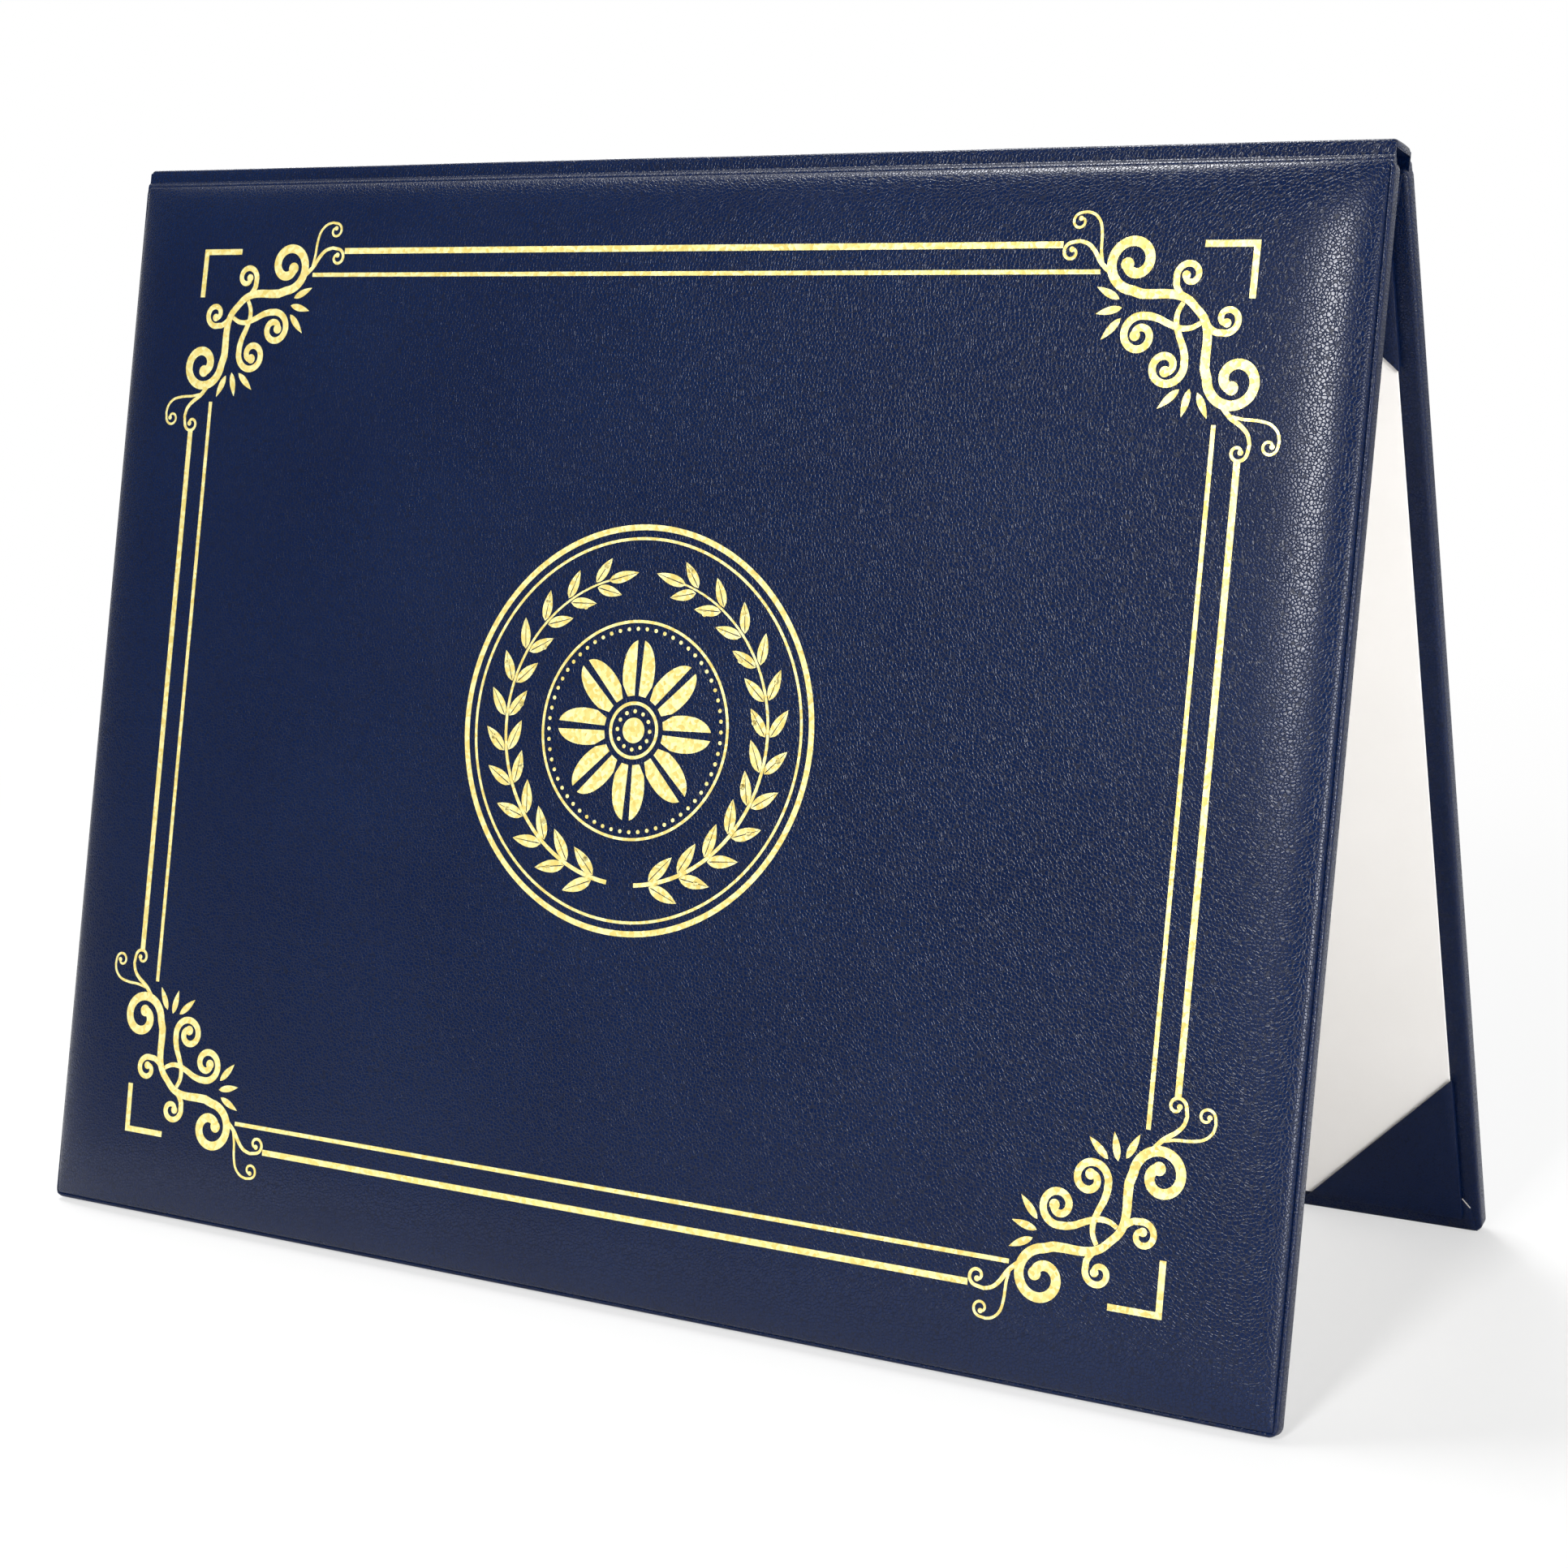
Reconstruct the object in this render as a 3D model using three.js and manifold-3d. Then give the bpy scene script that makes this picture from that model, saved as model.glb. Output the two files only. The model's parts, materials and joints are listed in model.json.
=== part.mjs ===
// A padded diploma cover, standing open as a tent. Millimetres, +Z up, the front cover faces -Y.
// Two padded covers hang from a narrow spine. Each is a board with foam on it, wrapped in
// leatherette that turns in round the edges, with a lining card over the turned-in edges.
import * as THREE from "three";
import { mergeVertices } from "three/addons/utils/BufferGeometryUtils.js";
import Module from "manifold-3d";

const wasm = await Module();
wasm.setup();

// Covers
const COVER_WIDTH = 296;
const COVER_HEIGHT = 232;
const CORNER_RADIUS = 2;
const OPENING_ANGLE = 28.4; // degrees between the two covers as they stand
const BOARD_THICKNESS = 2.4;
const LEATHERETTE_THICKNESS = 0.5;
const TURN_IN_WIDTH = 18; // leatherette folded over on the inside
const EDGE_ROUNDING = 0.8; // radius of the wrapped edge
const PADDING_RISE = 4.4; // the padded face above the cover's edge
const PADDING_ROLL = 13; // width over which the padding falls to the edge
const PADDING_LEDGE = 0.9; // flat rim between the edge and the padding
const LAYER_GAP = 0.2; // between layers that are glued together

// Lining and the corner pockets
const LINING_THICKNESS = 0.5;
const LINING_INSET = 4.4; // from the cover's edges
const POCKET_LEG = 34; // each pocket's two sides along the lining's edges
const POCKET_THICKNESS = 0.4;

// Spine
const SPINE_WIDTH = 8.4;
const SPINE_CARD_THICKNESS = 0.6;
const SPINE_LINING_THICKNESS = 0.4;
const SPINE_END_INSET = 0.5; // the spine is this much shorter than the covers at each end
const HINGE_GROOVE = 1.3; // bare leatherette from a hinge line to its cover's top edge
const HINGE_WEB_THICKNESS = 0.8;
const HINGE_CLEARANCE = 0.3;
const CLOSED_GAP = 0.4; // between a pocket and the facing lining when the covers are shut

// Gold foil on the front cover
const FOIL_THICKNESS = 0.2;
const FOIL_GAP = 0.1;
const FOIL_SIDE_MARGIN = 22.6; // from the cover's side to the border's outside
const FOIL_TOP_MARGIN = 15.5;
const FOIL_BOTTOM_MARGIN = 18.3;
const BORDER_LINE = 1.3;
const INNER_LINE = 0.9;
const BORDER_SPACING = 5.2; // between the middles of the two lines
const BORDER_START = [39.8, 41]; // along the top and down the side, from the border's corner
const INNER_START = [32.6, 35.4];
const BRACKET_ARM = 10.8;
const BRACKET_LINE = 1.28;
const SCROLL_UNIT = 1; // the length of one step in the scrolls' coordinates
const MEDALLION_RADIUS = 42;
const RING_LINE = 1.2;
const FINE_RING_LINE = 0.6;
const FINE_RING_SPACING = 2.6; // between the outsides of the two rings
const WREATH_SPACING = 7.9; // from the fine ring's outside in to the wreath's stem
const WREATH_TIP_GAP = 1.4; // each side of the top, beyond the last leaf
const WREATH_FOOT_GAP = 3.3; // each side of the bottom
const WREATH_LEAF = [7.4, 2.7]; // length and width
const WREATH_LEAF_PAIRS = 12;
const WREATH_STEM = 0.9;
const INNER_RING_SPACING = 9; // from the wreath's stem in to the inner ring's outside
const ROSETTE_SPACING = 4; // from the inner ring's outside in to the petals' tips
const ROSETTE_WAIST = 7.5; // radius between two petals
const ROSETTE_PETALS = 8;

const rad = THREE.MathUtils.degToRad;

// Levels through one cover, counted outwards from the face of its pockets
const liningLevel = POCKET_THICKNESS + LAYER_GAP;
const turnInLevel = liningLevel + LINING_THICKNESS + LAYER_GAP;
const boardLevel = turnInLevel + LEATHERETTE_THICKNESS + LAYER_GAP;
const foamLevel = boardLevel + BOARD_THICKNESS + LAYER_GAP;
const edgeLevel = foamLevel + LEATHERETTE_THICKNESS;
const faceLevel = edgeLevel + PADDING_RISE;
const hingeLevel = (turnInLevel + edgeLevel) / 2;
const foilLevel = faceLevel + FOIL_GAP;

// The hinge lines stand apart so that the shut covers keep their gap
const hingeSpacing = 2 * hingeLevel - liningLevel + CLOSED_GAP;
const coverTop = -HINGE_GROOVE;
const coverBottom = coverTop - COVER_HEIGHT;

// How the covers lean: the front one is square to the spine, the back one is open,
// and both stand on the floor on the inside of their lower edges.
const heelDepth = hingeLevel - turnInLevel;
const hingeHeight = (lean) => -coverBottom * Math.cos(lean) + heelDepth * Math.sin(lean);
const opening = rad(OPENING_ANGLE);
const misfit = (lean) =>
  hingeHeight(lean) - hingeHeight(opening - lean) - hingeSpacing * Math.sin(lean);
const LEAN_STEPS = 40;
let frontLean = opening / 2;
for (let step = 0; step < LEAN_STEPS; step++)
  frontLean -= misfit(frontLean) / (2 * coverBottom * Math.sin(opening / 2));
const backLean = opening - frontLean;

const material = {
  leatherette: new THREE.MeshStandardMaterial({ color: 0x1a2643, roughness: 0.42, metalness: 0 }),
  pocket: new THREE.MeshStandardMaterial({ color: 0x182440, roughness: 0.5, metalness: 0 }),
  lining: new THREE.MeshStandardMaterial({ color: 0xf3efe8, roughness: 0.85, metalness: 0 }),
  board: new THREE.MeshStandardMaterial({ color: 0x8d877a, roughness: 0.9, metalness: 0 }),
  foam: new THREE.MeshStandardMaterial({ color: 0xdcd8cc, roughness: 0.95, metalness: 0 }),
  foil: new THREE.MeshStandardMaterial({ color: 0xe3bd58, roughness: 0.3, metalness: 1 }),
};

function named(name, geometry, look) {
  const mesh = new THREE.Mesh(geometry, look.clone());
  mesh.name = name;
  return mesh;
}

// Closed solids for cutting and joining
function solid(geometry) {
  const plain = geometry.index ? geometry.toNonIndexed() : geometry.clone();
  plain.deleteAttribute("normal");
  plain.deleteAttribute("uv");
  const merged = mergeVertices(plain, 1e-4);
  return new wasm.Manifold(
    new wasm.Mesh({
      numProp: 3,
      vertProperties: merged.attributes.position.array,
      triVerts: new Uint32Array(merged.index.array),
    }),
  );
}

function geometryOf(manifold) {
  const mesh = manifold.getMesh();
  const geometry = new THREE.BufferGeometry();
  geometry.setAttribute("position", new THREE.BufferAttribute(mesh.vertProperties, 3));
  geometry.setIndex(new THREE.BufferAttribute(mesh.triVerts, 1));
  geometry.computeVertexNormals();
  return geometry;
}

const joined = (geometries) => geometryOf(geometries.map(solid).reduce((all, one) => all.add(one)));

// In a cover, X runs along it, Z is 0 at the hinge line and Y is 0 there, growing outwards.
const CORNER_STEPS = 3;

function coverOutline(inset) {
  const radius = Math.max(CORNER_RADIUS - inset, 0.2);
  const halfWidth = COVER_WIDTH / 2 - inset - radius;
  const high = coverTop - inset - radius;
  const low = coverBottom + inset + radius;
  const corners = [[-halfWidth, low, 180], [halfWidth, low, 270], [halfWidth, high, 0], [-halfWidth, high, 90]];
  return corners.flatMap(([x, z, start]) =>
    Array.from({ length: CORNER_STEPS + 1 }, (_, i) => {
      const angle = rad(start + (90 * i) / CORNER_STEPS);
      return [x + radius * Math.cos(angle), z + radius * Math.sin(angle)];
    }),
  );
}

// A solid that follows the cover's outline at each [inset, level], from the inside outwards.
function layered(profile) {
  const rings = profile.map(([inset, level]) =>
    coverOutline(inset).map(([x, z]) => [x, level - hingeLevel, z]),
  );
  const count = rings[0].length;
  const last = rings.length - 1;
  const triangles = [];
  for (let i = 0; i < count; i++) {
    const j = (i + 1) % count;
    for (let k = 0; k < last; k++) {
      triangles.push(rings[k][i], rings[k + 1][i], rings[k + 1][j]);
      triangles.push(rings[k][i], rings[k + 1][j], rings[k][j]);
    }
    if (i > 0 && j > 0) {
      triangles.push(rings[0][0], rings[0][i], rings[0][j]);
      triangles.push(rings[last][0], rings[last][j], rings[last][i]);
    }
  }
  const geometry = new THREE.BufferGeometry();
  geometry.setAttribute("position", new THREE.Float32BufferAttribute(triangles.flat(), 3));
  return geometry;
}

// The padding's section: a quarter of an ellipse from the rim to the flat of the face.
const ROLL_STEPS = 6;

function roll(rim, rimLevel, width, rise) {
  return Array.from({ length: ROLL_STEPS + 1 }, (_, i) => {
    const angle = rad((90 * i) / ROLL_STEPS);
    return [rim + width * (1 - Math.cos(angle)), rimLevel + rise * Math.sin(angle)];
  });
}

const skinProfile = [
  [EDGE_ROUNDING, turnInLevel],
  [EDGE_ROUNDING * 0.3, turnInLevel + EDGE_ROUNDING * 0.3],
  [0, turnInLevel + EDGE_ROUNDING],
  [0, edgeLevel - EDGE_ROUNDING / 2],
  [EDGE_ROUNDING / 2, edgeLevel],
  ...roll(PADDING_LEDGE, edgeLevel + 0.05, PADDING_ROLL - PADDING_LEDGE, PADDING_RISE - 0.05),
];
const wrapInside = LEATHERETTE_THICKNESS + LAYER_GAP;
const hollowRim = PADDING_LEDGE + LEATHERETTE_THICKNESS;
const hollowProfile = [
  [LEATHERETTE_THICKNESS, turnInLevel + LEATHERETTE_THICKNESS],
  [LEATHERETTE_THICKNESS, foamLevel],
  ...roll(hollowRim, foamLevel + 0.05, PADDING_ROLL - PADDING_LEDGE, PADDING_RISE - 0.05),
];
const foamProfile = roll(
  PADDING_LEDGE + wrapInside,
  foamLevel,
  PADDING_ROLL - PADDING_LEDGE,
  PADDING_RISE - LAYER_GAP,
);

function boxBetween([x0, y0, z0], [x1, y1, z1]) {
  const box = new THREE.BoxGeometry(x1 - x0, y1 - y0, z1 - z0);
  return box.translate((x0 + x1) / 2, (y0 + y1) / 2, (z0 + z1) / 2);
}

// The web of leatherette from the cover up to its hinge line, with a round end there.
function hingeWeb() {
  const half = HINGE_WEB_THICKNESS / 2;
  const end = COVER_WIDTH / 2 - SPINE_END_INSET - CORNER_RADIUS;
  const web = boxBetween([-end, -half, coverTop - LEATHERETTE_THICKNESS], [end, half, 0]);
  const bead = new THREE.CylinderGeometry(half, half, 2 * end, 12).rotateZ(Math.PI / 2);
  return solid(web).add(solid(bead));
}

function coverWrap() {
  const window = layered([[TURN_IN_WIDTH, turnInLevel - 1], [TURN_IN_WIDTH, boardLevel]]);
  const shell = solid(layered(skinProfile)).subtract(solid(layered(hollowProfile)));
  return geometryOf(shell.subtract(solid(window)).add(hingeWeb()));
}

const slab = (inset, from, to) => layered([[inset, from], [inset, to]]);

// A solid of one flat outline of [x, z] points between two levels.
function plate(points, level, thickness, holes = []) {
  const shape = new THREE.Shape(points.map(([x, z]) => new THREE.Vector2(x, z)));
  shape.holes = holes.map((hole) => new THREE.Path(hole.map(([x, z]) => new THREE.Vector2(x, z))));
  const geometry = new THREE.ExtrudeGeometry(shape, { depth: thickness, bevelEnabled: false });
  return geometry.rotateX(Math.PI / 2).translate(0, level + thickness - hingeLevel, 0);
}

// A triangle of leatherette over one corner of the lining, folded down round its two edges.
function cornerPocket(side, end) {
  const x = side * (COVER_WIDTH / 2 - LINING_INSET + LAYER_GAP + POCKET_THICKNESS);
  const z = (end > 0 ? coverTop : coverBottom) - end * (LINING_INSET - LAYER_GAP - POCKET_THICKNESS);
  const leg = POCKET_LEG + LAYER_GAP + POCKET_THICKNESS;
  const fold = POCKET_THICKNESS;
  const top = plate([[x, z], [x - side * leg, z], [x, z - end * leg]], 0, POCKET_THICKNESS);
  const along = leg - 2 * fold;
  const down = turnInLevel - LAYER_GAP;
  const edgeAcross = plate(
    [[x, z], [x - side * along, z], [x - side * along, z - end * fold], [x, z - end * fold]], 0, down);
  const edgeUp = plate(
    [[x, z], [x, z - end * along], [x - side * fold, z - end * along], [x - side * fold, z]], 0, down);
  return joined([top, edgeAcross, edgeUp]);
}

function cover(name, pockets) {
  const group = new THREE.Group();
  const clear = wrapInside;
  group.add(
    named(name + "_wrap", coverWrap(), material.leatherette),
    named(name + "_padding", layered(foamProfile), material.foam),
    named(name + "_board", slab(clear, boardLevel, foamLevel - LAYER_GAP), material.board),
    named(name + "_lining", slab(LINING_INSET, liningLevel, turnInLevel - LAYER_GAP), material.lining),
  );
  if (!pockets) return group;
  for (const [side, across] of [[-1, "left"], [1, "right"]])
    for (const [end, height] of [[-1, "low"], [1, "high"]])
      group.add(named(`pocket_${height}_${across}`, cornerPocket(side, end), material.pocket));
  return group;
}

// The foil's frame: its middle on the cover, and half its outside size
const foilHalfWidth = COVER_WIDTH / 2 - FOIL_SIDE_MARGIN;
const foilHalfHeight = (COVER_HEIGHT - FOIL_TOP_MARGIN - FOIL_BOTTOM_MARGIN) / 2;
const foilMiddle = coverTop - FOIL_TOP_MARGIN - foilHalfHeight;
const foilPlate = (points, holes) => plate(points, foilLevel, FOIL_THICKNESS, holes);

// The front cover is turned half round to face -Y, which puts its left side at +X here.
const FACE_SIDES = [[1, "left"], [-1, "right"]];

// A point given inwards from a corner of the frame
const fromCorner = (side, end, across, down) =>
  [side * (foilHalfWidth - across), foilMiddle + end * (foilHalfHeight - down)];

function foilBar([x0, z0], [x1, z1], width) {
  const along = x0 === x1 ? [width / 2, 0] : [0, width / 2];
  return foilPlate([
    [x0 - along[0], z0 - along[1]],
    [x1 + (x0 === x1 ? -1 : 1) * along[0], z1 - along[1]],
    [x1 + along[0], z1 + along[1]],
    [x0 + (x0 === x1 ? 1 : -1) * along[0], z0 + along[1]],
  ]);
}

function borderLines() {
  const lines = [];
  const kinds = [
    ["outer", BORDER_LINE / 2, BORDER_START, BORDER_LINE],
    ["inner", BORDER_LINE / 2 + BORDER_SPACING, INNER_START, INNER_LINE],
  ];
  for (const [kind, inset, [across, down], width] of kinds) {
    for (const [end, place] of [[1, "top"], [-1, "bottom"]]) {
      const bar = foilBar(fromCorner(-1, end, across, inset), fromCorner(1, end, across, inset), width);
      lines.push(named(`foil_${kind}_line_${place}`, bar, material.foil));
    }
    for (const [side, place] of FACE_SIDES) {
      const bar = foilBar(fromCorner(side, -1, inset, down), fromCorner(side, 1, inset, down), width);
      lines.push(named(`foil_${kind}_line_${place}`, bar, material.foil));
    }
  }
  return lines;
}

function bracket(side, end) {
  const corners = [[0, 0], [BRACKET_ARM, 0], [BRACKET_ARM, BRACKET_LINE], [BRACKET_LINE, BRACKET_LINE],
    [BRACKET_LINE, BRACKET_ARM], [0, BRACKET_ARM]];
  return foilPlate(corners.map(([across, down]) => fromCorner(side, end, across, down)));
}

// Scrolls of a corner ornament, in one half of it: a stem, then a spiral about a centre.
// The other half swaps the two coordinates. Angles are in degrees, widths run start, stem's end, spiral's end,
// and lengths are in scroll units.
const SCROLLS = [
  { stem: [[12, 12], [10.5, 13.6], [9.6, 15.6], [9.3, 18], [9.35, 21], [9.3, 23.5]],
    centre: [3.2, 25.2], radius: [5.47, 1.55], start: 0, turn: 430, width: [1.6, 1.9, 2.1] },
  { stem: [[9.6, 15], [8.8, 15.8], [7.6, 16.5]],
    centre: [5.8, 13.9], radius: [2.65, 0.75], start: 90, turn: 360, width: [1.1, 1.3, 1.3] },
  { stem: [[14.7, 10.9], [15.6, 12.7], [15.7, 14.9], [14.9, 17.2], [13.9, 19.4], [13.4, 21.4]],
    centre: [17.1, 22.9], radius: [3.7, 0.9], start: 180, turn: -450, width: [0.95, 1.5, 1.6] },
  { stem: [[5.5, 29.7], [3.5, 32], [1.2, 33.6], [-0.2, 35.1], [-0.8, 37.1]],
    centre: [1.4, 38.4], radius: [1.9, 0.55], start: 180, turn: -360, width: [1, 0.7, 0.55] },
  { stem: [[3.5, 31.8], [1, 32.3], [-2, 32.5], [-4.4, 33.1], [-5.9, 34.5], [-6.4, 36.3]],
    centre: [-4.5, 37.2], radius: [1.7, 0.6], start: 180, turn: -360, width: [0.6, 0.55, 0.5] },
];
const SCROLL_OFFSET = [-0.7, 0.7]; // from the scrolls' coordinates to the frame's corner
const SPIRAL_STEP = 48; // degrees

// The middle line of a scroll with its half width at each point.
function scrollLine({ stem, centre, radius, start, turn, width }) {
  const curve = new THREE.CatmullRomCurve3(stem.map(([a, b]) => new THREE.Vector3(a, b, 0)));
  const stemSteps = stem.length - 1;
  const line = Array.from({ length: stemSteps }, (_, i) => {
    const part = i / stemSteps;
    const p = curve.getPoint(part);
    return [p.x, p.y, THREE.MathUtils.lerp(width[0], width[1], part) / 2];
  });
  const steps = Math.round(Math.abs(turn) / SPIRAL_STEP);
  for (let i = 0; i <= steps; i++) {
    const part = i / steps;
    const angle = rad(start + turn * part);
    const r = THREE.MathUtils.lerp(radius[0], radius[1], part);
    line.push([
      centre[0] + r * Math.cos(angle),
      centre[1] + r * Math.sin(angle),
      THREE.MathUtils.lerp(width[1], width[2], part) / 2,
    ]);
  }
  return line;
}

// The outline on both sides of a line of [x, y, half width] points.
function ribbon(line) {
  const left = [];
  const right = [];
  line.forEach(([x, y, half], i) => {
    const [x0, y0] = line[Math.max(i - 1, 0)];
    const [x1, y1] = line[Math.min(i + 1, line.length - 1)];
    const length = Math.hypot(x1 - x0, y1 - y0);
    const across = [(-(y1 - y0) / length) * half, ((x1 - x0) / length) * half];
    left.push([x + across[0], y + across[1]]);
    right.unshift([x - across[0], y - across[1]]);
  });
  return [...left, ...right];
}

const circle = ([x, y], radius, sides) =>
  Array.from({ length: sides }, (_, i) => {
    const angle = (2 * Math.PI * i) / sides;
    return [x + radius * Math.cos(angle), y + radius * Math.sin(angle)];
  });

function flourish(side, end) {
  const pieces = [];
  for (const swap of [false, true]) {
    const place = ([a, b]) => {
      const [across, down] = swap ? [b, a] : [a, b];
      const steps = [across + SCROLL_OFFSET[0], down + SCROLL_OFFSET[1]];
      return fromCorner(side, end, steps[0] * SCROLL_UNIT, steps[1] * SCROLL_UNIT);
    };
    for (const scroll of SCROLLS) pieces.push(foilPlate(ribbon(scrollLine(scroll)).map(place)));
  }
  return joined(pieces);
}

// The medallion: rings, a wreath of two branches and a rosette, all about one middle
const medallionMiddle = [0, foilMiddle];
const fineRingRadius = MEDALLION_RADIUS - FINE_RING_SPACING;
const wreathRadius = fineRingRadius - WREATH_SPACING;
const innerRingRadius = wreathRadius - INNER_RING_SPACING;
const rosetteRadius = innerRingRadius - ROSETTE_SPACING;
const RING_SIDES = 60;

function ring(radius, line) {
  return foilPlate(circle(medallionMiddle, radius, RING_SIDES), [
    circle(medallionMiddle, radius - line, RING_SIDES),
  ]);
}

// A leaf that springs from [x, z] at an angle.
function leaf([x, z], angle, [length, width]) {
  const section = [[0, 0], [0.45, 0.5], [1, 0], [0.45, -0.5]];
  return foilPlate(
    section.map(([along, across]) => [
      x + along * length * Math.cos(angle) - across * width * Math.sin(angle),
      z + along * length * Math.sin(angle) + across * width * Math.cos(angle),
    ]),
  );
}

// One branch grows from the foot up to the opening, on the side where X has the sign of side.
function branch(side) {
  const from = WREATH_FOOT_GAP / wreathRadius;
  const to = Math.PI - (WREATH_TIP_GAP + WREATH_LEAF[0]) / wreathRadius;
  const at = (sweep) => [
    medallionMiddle[0] + side * wreathRadius * Math.sin(sweep),
    medallionMiddle[1] - wreathRadius * Math.cos(sweep),
  ];
  const stemSteps = WREATH_LEAF_PAIRS;
  const stem = Array.from({ length: stemSteps + 1 }, (_, i) =>
    [...at(from + ((to - from) * i) / stemSteps), WREATH_STEM / 2]);
  const pieces = [foilPlate(ribbon(stem))];
  for (let i = 0; i < WREATH_LEAF_PAIRS; i++) {
    const sweep = from + ((to - from) * (i + 0.5)) / WREATH_LEAF_PAIRS;
    const forward = side > 0 ? sweep : Math.PI - sweep;
    for (const lean of [-1, 1]) {
      const spread = rad(34) * lean;
      pieces.push(leaf(at(sweep), forward + spread, WREATH_LEAF));
    }
  }
  const tip = to - WREATH_STEM / wreathRadius;
  pieces.push(leaf(at(tip), side > 0 ? tip : Math.PI - tip, WREATH_LEAF));
  return joined(pieces);
}

function rosette() {
  const steps = ROSETTE_PETALS * 6;
  const outline = Array.from({ length: steps }, (_, i) => {
    const angle = (2 * Math.PI * i) / steps;
    const bulge = Math.abs(Math.cos((ROSETTE_PETALS * angle) / 2)) ** 0.8;
    const radius = ROSETTE_WAIST + (rosetteRadius - ROSETTE_WAIST) * bulge;
    return [medallionMiddle[0] + radius * Math.sin(angle), medallionMiddle[1] + radius * Math.cos(angle)];
  });
  return foilPlate(outline);
}

function foil() {
  const pieces = borderLines();
  for (const [side, across] of FACE_SIDES) {
    pieces.push(named(`foil_wreath_${across}`, branch(side), material.foil));
    for (const [end, height] of [[-1, "low"], [1, "high"]]) {
      pieces.push(named(`foil_bracket_${height}_${across}`, bracket(side, end), material.foil));
      pieces.push(named(`foil_scrolls_${height}_${across}`, flourish(side, end), material.foil));
    }
  }
  pieces.push(
    named("foil_medallion_ring", ring(MEDALLION_RADIUS, RING_LINE), material.foil),
    named("foil_medallion_fine_ring", ring(fineRingRadius, FINE_RING_LINE), material.foil),
    named("foil_medallion_inner_ring", ring(innerRingRadius, FINE_RING_LINE), material.foil),
    named("foil_rosette", rosette(), material.foil),
  );
  return pieces;
}

// The spine: a stiff card strip, leatherette over it and a lining strip under it. Its own frame
// has X along it, Y across it from its middle and Z from the hinge lines up to its outer face.
const spineBottom = HINGE_WEB_THICKNESS / 2 + HINGE_CLEARANCE;
const spineCardBottom = spineBottom + SPINE_LINING_THICKNESS + LAYER_GAP;
const spineTop = spineCardBottom + SPINE_CARD_THICKNESS + LAYER_GAP + LEATHERETTE_THICKNESS;

function spineWrap() {
  const half = SPINE_WIDTH / 2;
  const inner = half - LEATHERETTE_THICKNESS;
  const soft = LEATHERETTE_THICKNESS * 0.6;
  const under = spineTop - LEATHERETTE_THICKNESS;
  const section = [
    [-half, spineBottom], [-inner, spineBottom], [-inner, under], [inner, under], [inner, spineBottom],
    [half, spineBottom], [half, spineTop - soft], [half - soft, spineTop], [soft - half, spineTop],
    [-half, spineTop - soft],
  ];
  return spineLength(section);
}

// A section of [y, z] points drawn along the spine.
function spineLength(section) {
  const length = COVER_WIDTH - 2 * SPINE_END_INSET;
  const shape = new THREE.Shape(section.map(([y, z]) => new THREE.Vector2(y, z)));
  const geometry = new THREE.ExtrudeGeometry(shape, { depth: length, bevelEnabled: false });
  geometry.translate(0, 0, -length / 2);
  const axes = new THREE.Matrix4().makeBasis(
    new THREE.Vector3(0, 1, 0),
    new THREE.Vector3(0, 0, 1),
    new THREE.Vector3(1, 0, 0),
  );
  return geometry.applyMatrix4(axes);
}

function spineStrip(low, high) {
  const half = SPINE_WIDTH / 2 - LEATHERETTE_THICKNESS - LAYER_GAP;
  return spineLength([[-half, low], [half, low], [half, high], [-half, high]]);
}

function spine() {
  const group = new THREE.Group();
  group.add(
    named("spine_wrap", spineWrap(), material.leatherette),
    named("spine_card", spineStrip(spineCardBottom, spineCardBottom + SPINE_CARD_THICKNESS), material.board),
    named("spine_lining", spineStrip(spineBottom, spineBottom + SPINE_LINING_THICKNESS), material.pocket),
  );
  return group;
}

// Everything stands on the floor, with the middle of its depth at Y = 0
const furthestOut = (lean) =>
  Math.max(...skinProfile.map(([inset, level]) =>
    -(coverBottom + inset) * Math.sin(lean) + (level - hingeLevel) * Math.cos(lean)));
const spineTilt = frontLean;
const hingeStride = hingeSpacing * Math.cos(spineTilt);
const backHingeY = (hingeStride + furthestOut(frontLean) - furthestOut(backLean)) / 2;
const backHinge = new THREE.Vector3(0, backHingeY, hingeHeight(backLean));
const frontHinge = new THREE.Vector3(0, backHingeY - hingeStride, hingeHeight(frontLean));

const backCover = cover("back", true);
backCover.position.copy(backHinge);
backCover.rotation.x = backLean;

const frontCover = cover("front", false);
frontCover.add(...foil());
frontCover.position.copy(frontHinge);
frontCover.rotation.set(-frontLean, 0, Math.PI);

const spineGroup = spine();
spineGroup.position.copy(backHinge).add(frontHinge).multiplyScalar(0.5);
spineGroup.rotation.x = -spineTilt;

const diplomaCover = new THREE.Group();
diplomaCover.name = "diploma_cover";
diplomaCover.add(backCover, spineGroup, frontCover);
export default diplomaCover;
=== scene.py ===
import json
from math import cos, exp, hypot, pi, radians, sin, sqrt

import bmesh
import bpy
from mathutils import Matrix, Vector
from mathutils.geometry import tessellate_polygon


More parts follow.
